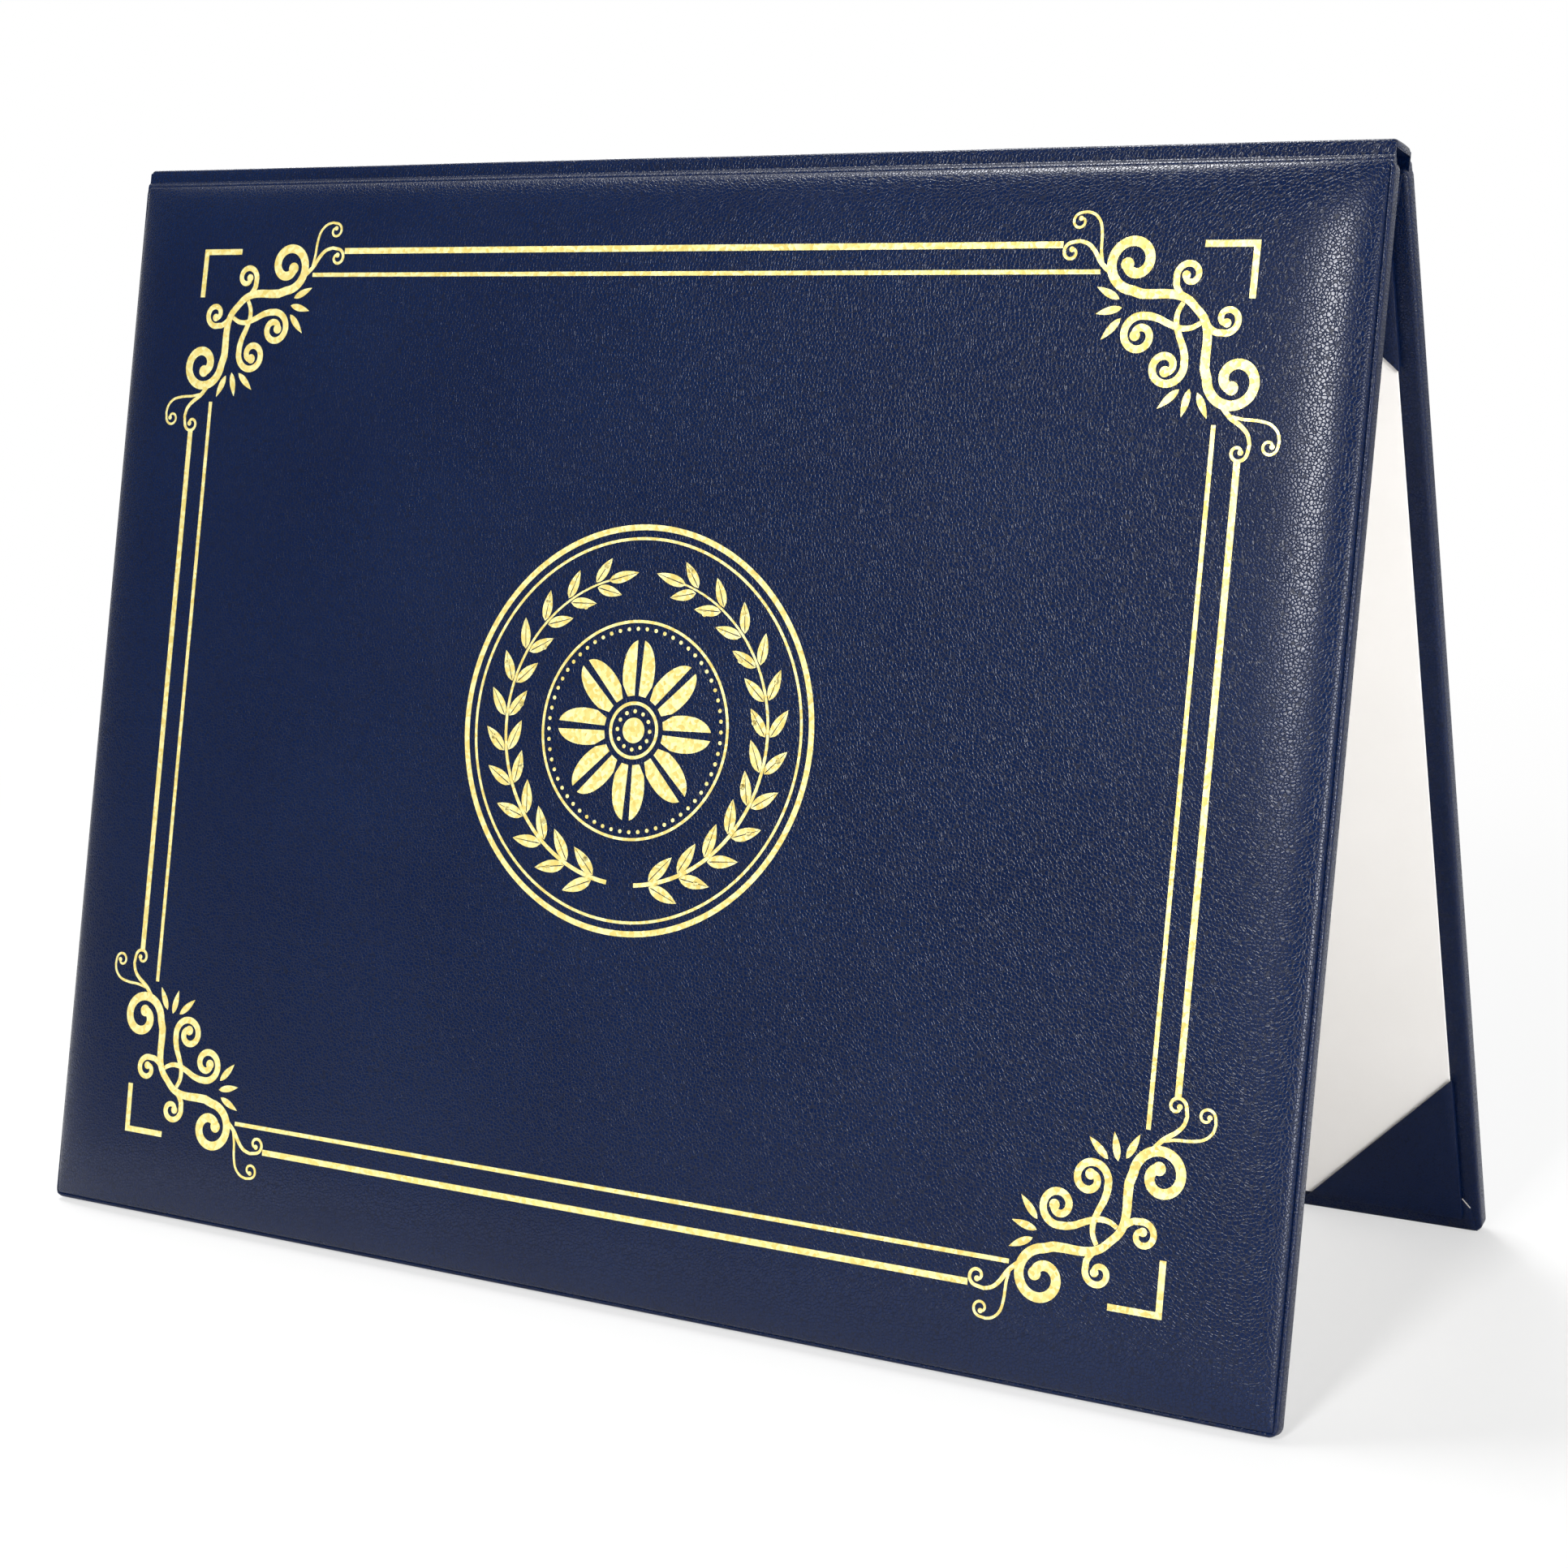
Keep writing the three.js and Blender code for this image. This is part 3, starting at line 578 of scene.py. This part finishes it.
# Foil on the front cover
FOIL_HALF = (125.4, 99.1)  # half the width and height between the brackets' corners
FOIL_MIDDLE = -115.9  # the height of its middle, from the hinge line
BORDER = [(0.65, 1.3, (39.6, 40.6)), (5.85, 0.9, (31.4, 34.2))]  # inset, width, starts
BRACKET_ARM, BRACKET_LINE = 10.8, 1.28  # length and width of a corner bracket's two strokes
CORNERS = [f"{height}_{across}" for height in ("low", "high") for across in ("left", "right")]
FOIL_RISE, FOIL_SINK = 0.05, 0.06  # how far foil stands over the padded face and reaches under it


def from_corner(side, end, across, down):
    return side * (FOIL_HALF[0] - across), FOIL_MIDDLE + end * (FOIL_HALF[1] - down)


class Stamp:
    """Gathers flat foil shapes that follow the padded face."""

    def __init__(self):
        self.points, self.faces = [], []

    def point(self, x, z, lift):
        level = face_level(x + WIDTH / 2, z - BOTTOM)
        self.points.append(FRONT.at(x, level + lift, z))
        return len(self.points) - 1

    def walled(self, outline, lift):
        """Both rims of an outline, with its side faces between them."""
        top = [self.point(x, z, FOIL_RISE + lift) for x, z in outline]
        low = [self.point(x, z, -FOIL_SINK) for x, z in outline]
        for k in range(len(outline)):
            m = (k + 1) % len(outline)
            self.faces.append((top[k], top[m], low[m], low[k]))
        return top

    def fill(self, outline, lift=0.0):
        rim = self.walled(outline, lift)
        for triangle in tessellate_polygon([[Vector((x, z, 0)) for x, z in outline]]):
            self.faces.append(tuple(rim[i] for i in triangle))

    def line(self, places, lift=0.0):
        """A ribbon along [x, z, half width] places."""
        left, right = [], []
        for i, (x, z, half) in enumerate(places):
            x0, z0, _ = places[max(i - 1, 0)]
            x1, z1, _ = places[min(i + 1, len(places) - 1)]
            length = hypot(x1 - x0, z1 - z0) or 1
            nx, nz = -(z1 - z0) / length * half, (x1 - x0) / length * half
            left.append((x + nx, z + nz))
            right.append((x - nx, z - nz))
        rim = self.walled(left + right[::-1], lift)
        count = len(places)
        for k in range(count - 1):
            self.faces.append((rim[k], rim[k + 1], rim[2 * count - 2 - k], rim[2 * count - 1 - k]))

    def ring(self, middle, radius, width, sides):
        self.band(circle(middle, radius, sides), circle(middle, radius - width, sides))

    def band(self, outer, inner):
        """The closed strip between two outlines with the same number of points."""
        one, two = self.walled(outer, 0), self.walled(inner, 0)
        for k in range(len(outer)):
            m = (k + 1) % len(outer)
            self.faces.append((one[k], one[m], two[m], two[k]))

    def finish(self, name, nodes):
        obj = piece(name, self.points, self.faces, FRONT.body, FOIL, 30)
        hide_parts(*nodes)


def circle(middle, radius, sides=24):
    return [(middle[0] + radius * cos(2 * pi * i / sides), middle[1] + radius * sin(2 * pi * i / sides))
            for i in range(sides)]


def even(start, end, count=40):
    return [start + (end - start) * i / count for i in range(count + 1)]


def borders():
    stamp = Stamp()
    for inset, width, (across, down) in BORDER:
        for end in (-1, 1):
            (x0, z), (x1, _) = from_corner(-1, end, across, inset), from_corner(1, end, across, inset)
            stamp.line([(x, z, width / 2) for x in even(x0, x1)])
        for side in (-1, 1):
            (x, z0), (_, z1) = from_corner(side, -1, inset, down), from_corner(side, 1, inset, down)
            stamp.line([(x, z, width / 2) for z in even(z0, z1)])
    arm, line = BRACKET_ARM, BRACKET_LINE
    shape = [(0, 0), (arm, 0), (arm, line), (line, line), (line, arm), (0, arm)]
    for side in (-1, 1):
        for end in (-1, 1):
            stamp.fill([from_corner(side, end, a, b) for a, b in shape])
    nodes = [f"foil_{kind}_line_{place}" for kind in ("outer", "inner")
             for place in ("top", "bottom", "left", "right")]
    nodes += [f"foil_bracket_{place}" for place in CORNERS]
    stamp.finish("foil_border", nodes)


# One half of a corner's scrolls: stem, spiral's centre, radii, start and turn in degrees, widths
# at the stem's start, the stem's end and the spiral's end, and the radius of the bud in it
SCROLLS = [
    ([(12, 12), (10.5, 13.6), (9.6, 15.6), (9.3, 18), (9.35, 21), (9.3, 23.5)],
     (3.2, 25.2), (5.47, 1.55), 0, 430, (1.5, 1.9, 2.0), 1.3),
    ([(9.6, 15), (8.8, 15.8), (7.6, 16.5)], (5.8, 13.9), (2.65, 0.75), 90, 360, (1.1, 1.3, 1.1), 0.85),
    ([(14.7, 10.9), (15.6, 12.7), (15.7, 14.9), (14.9, 17.2), (13.9, 19.4), (13.4, 21.4)],
     (17.1, 22.9), (3.7, 0.9), 180, -450, (0.9, 1.5, 1.4), 1.05),
    ([(5.5, 29.7), (3.5, 32), (1.2, 33.6), (-0.2, 35.1), (-0.8, 37.1)],
     (1.4, 38.4), (1.9, 0.55), 180, -360, (1, 0.7, 0.55), 0.55),
    ([(3.5, 31.8), (1, 32.3), (-2, 32.5), (-4.4, 33.1), (-5.9, 34.5), (-6.4, 36.3)],
     (-4.5, 37.2), (1.7, 0.6), 180, -360, (0.6, 0.55, 0.5), 0.5),
]
SCROLL_OFFSET = (-0.7, 0.7)  # moves all the scrolls across and down
PETALS = [((13.9, 27), (18, 30.7)), ((11.9, 26.9), (13.1, 32.2)), ((10.3, 27.6), (8, 32.4))]
PETAL_WIDTH = 1.5
SCROLL_LIFT, BUD_LIFT, PETAL_LIFT = 0.0012, 0.006, 0.014  # keep crossing foil from flickering


def smooth(points, steps=6):
    """A Catmull-Rom curve through the points."""
    ends = [points[0], *points, points[-1]]
    curve = []
    for i in range(1, len(ends) - 2):
        p0, p1, p2, p3 = (Vector(p) for p in ends[i - 1:i + 3])
        for s in range(steps):
            t = s / steps
            curve.append(0.5 * (2 * p1 + (p2 - p0) * t + (2 * p0 - 5 * p1 + 4 * p2 - p3) * t * t
                                + (3 * p1 - p0 - 3 * p2 + p3) * t**3))
    return curve


def scroll_line(stem, middle, radii, start, turn, widths):
    curve = smooth(stem)
    line = []
    for i, p in enumerate(curve):
        line.append((p.x, p.y, (widths[0] + (widths[1] - widths[0]) * i / len(curve)) / 2))
    steps = round(abs(turn) / 10)
    for i in range(steps + 1):
        part = i / steps
        angle = radians(start + turn * part)
        radius = radii[0] + (radii[1] - radii[0]) * part
        half = (widths[1] + (widths[2] - widths[1]) * part) / 2
        line.append((middle[0] + radius * cos(angle), middle[1] + radius * sin(angle), half))
    return line


def leaf_half(width, t, skew, blunt):
    """Half the width of a pointed leaf at t of its length, widest before its middle."""
    return width / 2 * sin(pi * t**skew) ** blunt if 0 < t < 1 else 0


def leaf_outline(root, tip, width, steps=9):
    root, tip = Vector(root), Vector(tip)
    along = tip - root
    across = Vector((-along.y, along.x)).normalized()
    sides = ([], [])
    for i in range(steps + 1):
        t = i / steps
        half = leaf_half(width, t, 0.8, 0.9)
        sides[0].append(root + along * t + across * half)
        sides[1].append(root + along * t - across * half)
    return [tuple(p) for p in sides[0] + sides[1][-2:0:-1]]


def flourishes():
    stamp = Stamp()
    for side in (-1, 1):
        for end in (-1, 1):
            for swap in (False, True):
                def place(a, b):
                    across, down = (b, a) if swap else (a, b)
                    return from_corner(side, end, across + SCROLL_OFFSET[0], down + SCROLL_OFFSET[1])
                for k, (*shape, bud) in enumerate(SCROLLS):
                    line = scroll_line(*shape)
                    lift = SCROLL_LIFT * (k + len(SCROLLS) * swap)
                    stamp.line([(*place(a, b), half) for a, b, half in line], lift)
                    stamp.fill(circle(place(*line[-1][:2]), bud), lift=lift + BUD_LIFT)
                for root, tip in PETALS:
                    outline = leaf_outline(root, tip, PETAL_WIDTH)
                    stamp.fill([place(a, b) for a, b in outline], lift=PETAL_LIFT)
    stamp.finish("foil_flourishes", [f"foil_scrolls_{place}" for place in CORNERS])


# The medallion: two rings, a wreath of two branches, an inner ring, beads and a rosette
RING, RING_LINE = 42, 1.2
FINE_RING, FINE_LINE = 39.4, 0.6
INNER_RING = 22.5
BEADS, BEAD_RING, BEAD = 60, 20.7, 0.42
MEDALLION = (0, FOIL_MIDDLE)

WREATH, LEAF_PAIRS = 31.5, 12
WREATH_FOOT, WREATH_HEAD = 3.3, 1.4  # gaps between a branch's ends and the middle line
WREATH_LEAF, LEAF_SHRINK, LAST_LEAF = (7.4, 2.7), 0.18, 0.85
LEAF_LEAN, LEAF_ROOT = radians(34), 0.55  # its turn from the stem, and its root from the stem's middle
STEM, STEM_TAPER = 0.9, 0.5  # its width at the foot, and what it loses up to its head
BERRY, BERRY_OUT, BERRY_SHIFT = 0.6, 3.1, 0.42  # the shift is a share of the step between leaves
VEIN = 0.24

ROSETTE, WAIST, PETAL_COUNT = 18.5, 7.5, 8
PETAL_ROOT = 0.4
PETAL_STEPS = 14
EYE_RING, EYE_LINE, EYE = 5.9, 0.7, 2.6
SEEDS, SEED_RING, SEED = 12, 3.9, 0.42


def around(angle, radius):
    return MEDALLION[0] + radius * cos(angle), MEDALLION[1] + radius * sin(angle)


def split_leaf(stamp, root, angle, length, width, steps=8):
    """A leaf in two halves with its vein left bare between them."""
    along, across = Vector((cos(angle), sin(angle))), Vector((-sin(angle), cos(angle)))
    for half in (-1, 1):
        inner, outer = [], []
        for i in range(steps + 1):
            t = i / steps
            middle = Vector(root) + along * length * t
            wide = leaf_half(width, t, 0.78, 0.85)
            slit = min(VEIN / 2 * (1 - t * 0.6), wide)
            inner.append(middle + across * half * slit)
            outer.append(middle + across * half * max(wide, slit))
        stamp.fill([tuple(p) for p in inner + outer[-2:0:-1]])


def branch(stamp, side):
    """One branch of the wreath, from the bottom up one side."""
    foot, head = WREATH_FOOT / WREATH, pi - (WREATH_HEAD + WREATH_LEAF[0]) / WREATH

    def at(sweep, radius=WREATH):
        return MEDALLION[0] + side * radius * sin(sweep), MEDALLION[1] - radius * cos(sweep)

    def forward(sweep):
        return sweep if side > 0 else pi - sweep

    stamp.line([(*at(foot + (head - foot) * t), (STEM - STEM_TAPER * t) / 2) for t in even(0, 1, 48)])
    for i in range(LEAF_PAIRS):
        sweep = foot + (head - foot) * (i + 0.5) / LEAF_PAIRS
        length, width = (size * (1 - LEAF_SHRINK * i / LEAF_PAIRS) for size in WREATH_LEAF)
        for lean in (-1, 1):
            root = at(sweep, WREATH + lean * LEAF_ROOT)
            split_leaf(stamp, root, forward(sweep) - side * lean * LEAF_LEAN, length, width)
        berry = sweep + (head - foot) * BERRY_SHIFT / LEAF_PAIRS
        stamp.fill(circle(at(berry, WREATH + (BERRY_OUT if i % 2 else -BERRY_OUT)), BERRY, 14))
    length, width = WREATH_LEAF
    split_leaf(stamp, at(head - 0.02), forward(head), length, width * LAST_LEAF)


def rosette(stamp):
    """Petals in two halves round an eye with a ring of seeds."""
    share = 2 * pi / PETAL_COUNT
    for k in range(PETAL_COUNT):
        for half in (-1, 1):
            outline = []
            for i in range(PETAL_STEPS + 1):
                turn = 0.045 + (share / 2 - 0.07) * i / PETAL_STEPS
                reach = abs(cos(PETAL_COUNT * turn / 2)) ** 0.7
                outline.append((turn, WAIST + (ROSETTE - WAIST) * reach))
            outline += [(share / 2 - 0.09, WAIST - PETAL_ROOT), (0.07, WAIST - PETAL_ROOT)]
            stamp.fill([around(pi / 2 - k * share - half * turn, radius) for turn, radius in outline])
    stamp.ring(MEDALLION, EYE_RING, EYE_LINE, 64)
    stamp.fill(circle(MEDALLION, EYE, 40))
    for k in range(SEEDS):
        stamp.fill(circle(around(2 * pi * k / SEEDS, SEED_RING), SEED, 12))


def medallion():
    stamp = Stamp()
    stamp.ring(MEDALLION, RING, RING_LINE, 180)
    stamp.ring(MEDALLION, FINE_RING, FINE_LINE, 160)
    stamp.ring(MEDALLION, INNER_RING, FINE_LINE, 120)
    for i in range(BEADS):
        stamp.fill(circle(around(2 * pi * (i + 0.5) / BEADS, BEAD_RING), BEAD, 10))
    for side in (-1, 1):
        branch(stamp, side)
    rosette(stamp)
    stamp.finish("foil_medallion", ["foil_medallion_ring", "foil_medallion_fine_ring", "foil_wreath_left",
                                    "foil_wreath_right", "foil_medallion_inner_ring", "foil_rosette"])


# Everything is put together
for cover in (FRONT, BACK):
    skin(cover)
    lining(cover)
    corner_folds(cover)
    fold(cover)
for side in (-1, 1):
    for end in (-1, 1):
        pocket(side, end)
spine_cap()
for node in ("front_board", "back_board", "spine_card", "spine_lining"):
    materials = frame["nodes"][node].data.materials
    materials.clear()
    materials.append(INSIDE if node == "spine_lining" else BOARD)
borders()
flourishes()
medallion()

# The floor, the world and the lamps
FLOOR_HALF = 6  # metres, like the values below
FLOOR_COLOUR = (0.93, 0.93, 0.925)
SHADOW_REACH, NEAR_GLOW = (0.22, 0.75), 0.55  # the floor glows fully past the shadow's reach
BEHIND = (-0.1, 0.3)  # the part of the world that gloss sees as white, by its direction's Y

floor_mesh = bpy.data.meshes.new("floor")
corners = [(-FLOOR_HALF, -FLOOR_HALF, 0), (FLOOR_HALF, -FLOOR_HALF, 0),
           (FLOOR_HALF, FLOOR_HALF, 0), (-FLOOR_HALF, FLOOR_HALF, 0)]
floor_mesh.from_pydata(corners, [], [(0, 1, 2, 3)])
floor = bpy.data.objects.new("floor", floor_mesh)
bpy.context.scene.collection.objects.link(floor)


def pale_floor():
    """A pale floor that the camera sees as nearly white, with the part's shadow kept."""
    material = bpy.data.materials.new("floor")
    material.use_nodes = True
    tree = material.node_tree
    tree.nodes.clear()
    add, link = tree.nodes.new, tree.links.new
    diffuse, glow, mix = add("ShaderNodeBsdfDiffuse"), add("ShaderNodeEmission"), add("ShaderNodeMixShader")
    diffuse.inputs["Color"].default_value = (*FLOOR_COLOUR, 1)
    glow.inputs["Color"].default_value = (1, 1, 1, 1)
    path, share = add("ShaderNodeLightPath"), add("ShaderNodeMath")
    share.operation = "MULTIPLY"
    place, reach, fade = add("ShaderNodeTexCoord"), add("ShaderNodeVectorMath"), add("ShaderNodeMapRange")
    reach.operation = "LENGTH"
    fade.inputs["From Min"].default_value, fade.inputs["From Max"].default_value = SHADOW_REACH
    fade.inputs["To Min"].default_value = NEAR_GLOW
    link(place.outputs["Object"], reach.inputs[0])
    link(reach.outputs["Value"], fade.inputs["Value"])
    link(path.outputs["Is Camera Ray"], share.inputs[0])
    link(fade.outputs["Result"], share.inputs[1])
    link(share.outputs[0], mix.inputs[0])
    link(diffuse.outputs[0], mix.inputs[1])
    link(glow.outputs[0], mix.inputs[2])
    link(mix.outputs[0], add("ShaderNodeOutputMaterial").inputs["Surface"])
    return material


floor_mesh.materials.append(pale_floor())


def studio_world(light, shown):
    """Plain light from all round, with a white backdrop for the camera and, behind the part, for gloss."""
    world = bpy.data.worlds.new("studio")
    world.use_nodes = True
    tree = world.node_tree
    tree.nodes.clear()
    add, link = tree.nodes.new, tree.links.new
    path, most, more = add("ShaderNodeLightPath"), add("ShaderNodeMath"), add("ShaderNodeMath")
    for node in (most, more):
        node.operation = "MAXIMUM"
    place, axes = add("ShaderNodeTexCoord"), add("ShaderNodeSeparateXYZ")
    behind = add("ShaderNodeMapRange")
    behind.inputs["From Min"].default_value, behind.inputs["From Max"].default_value = BEHIND
    gloss = add("ShaderNodeMath")
    gloss.operation = "MULTIPLY"
    link(place.outputs["Generated"], axes.inputs[0])
    link(axes.outputs["Y"], behind.inputs["Value"])
    link(path.outputs["Is Glossy Ray"], gloss.inputs[0])
    link(behind.outputs["Result"], gloss.inputs[1])
    link(path.outputs["Is Camera Ray"], most.inputs[0])
    link(gloss.outputs[0], most.inputs[1])
    link(most.outputs[0], more.inputs[0])
    link(path.outputs["Is Transmission Ray"], more.inputs[1])
    plain, white, mix = add("ShaderNodeBackground"), add("ShaderNodeBackground"), add("ShaderNodeMixShader")
    plain.inputs["Color"].default_value = (1, 1, 1, 1)
    plain.inputs["Strength"].default_value = light
    white.inputs["Color"].default_value = (1, 1, 1, 1)
    white.inputs["Strength"].default_value = shown
    link(more.outputs[0], mix.inputs[0])
    link(plain.outputs[0], mix.inputs[1])
    link(white.outputs[0], mix.inputs[2])
    link(mix.outputs[0], add("ShaderNodeOutputWorld").inputs["Surface"])
    bpy.context.scene.world = world


studio_world(light=0.18, shown=1)

LAMPS = [  # name, place, size, watts, aimed at the part's middle
    ("lamp_above", (-0.34, 0.1, 1.22), (0.5, 0.14), 9),
    ("lamp_right", (1.25, -0.56, 0.2), (0.5, 0.5), 14.5),
    ("lamp_front", (0.08, -1.25, 0.72), (0.22, 0.42), 14),
    ("lamp_behind", (-0.9, 1.3, 0.9), (1, 0.8), 12),
]
MIDDLE = Vector((0, 0, 0.11))
for name, place, size, watts in LAMPS:
    light = bpy.data.lights.new(name, "AREA")
    light.shape = "RECTANGLE"
    light.size, light.size_y = size
    light.energy = watts
    lamp = bpy.data.objects.new(name, light)
    lamp.location = place
    lamp.rotation_euler = (MIDDLE - Vector(place)).to_track_quat("-Z", "Y").to_euler()
    bpy.context.scene.collection.objects.link(lamp)

# The camera, solved from the photograph's corners, foil border and medallion
AZIMUTH, ELEVATION, TILT = radians(30.5016), radians(11.8251), radians(-1.5194)
CAMERA_PLACE = (0.330885, -0.541042, 0.229873)
LENS = 69.05

back = Vector((sin(AZIMUTH) * cos(ELEVATION), -cos(AZIMUTH) * cos(ELEVATION), sin(ELEVATION)))
right = Vector((cos(AZIMUTH), sin(AZIMUTH), 0))
up = back.cross(right)
right, up = right * cos(TILT) + up * sin(TILT), up * cos(TILT) - right * sin(TILT)
camera_data = bpy.data.cameras.new("camera")
camera_data.lens = LENS
camera_data.sensor_width = 36
camera_data.clip_start = 0.01
camera = bpy.data.objects.new("camera", camera_data)
camera.matrix_world = Matrix.Translation(CAMERA_PLACE) @ Matrix((right, up, back)).transposed().to_4x4()
bpy.context.scene.collection.objects.link(camera)
bpy.context.scene.camera = camera
bpy.context.scene.view_settings.view_transform = "Standard"
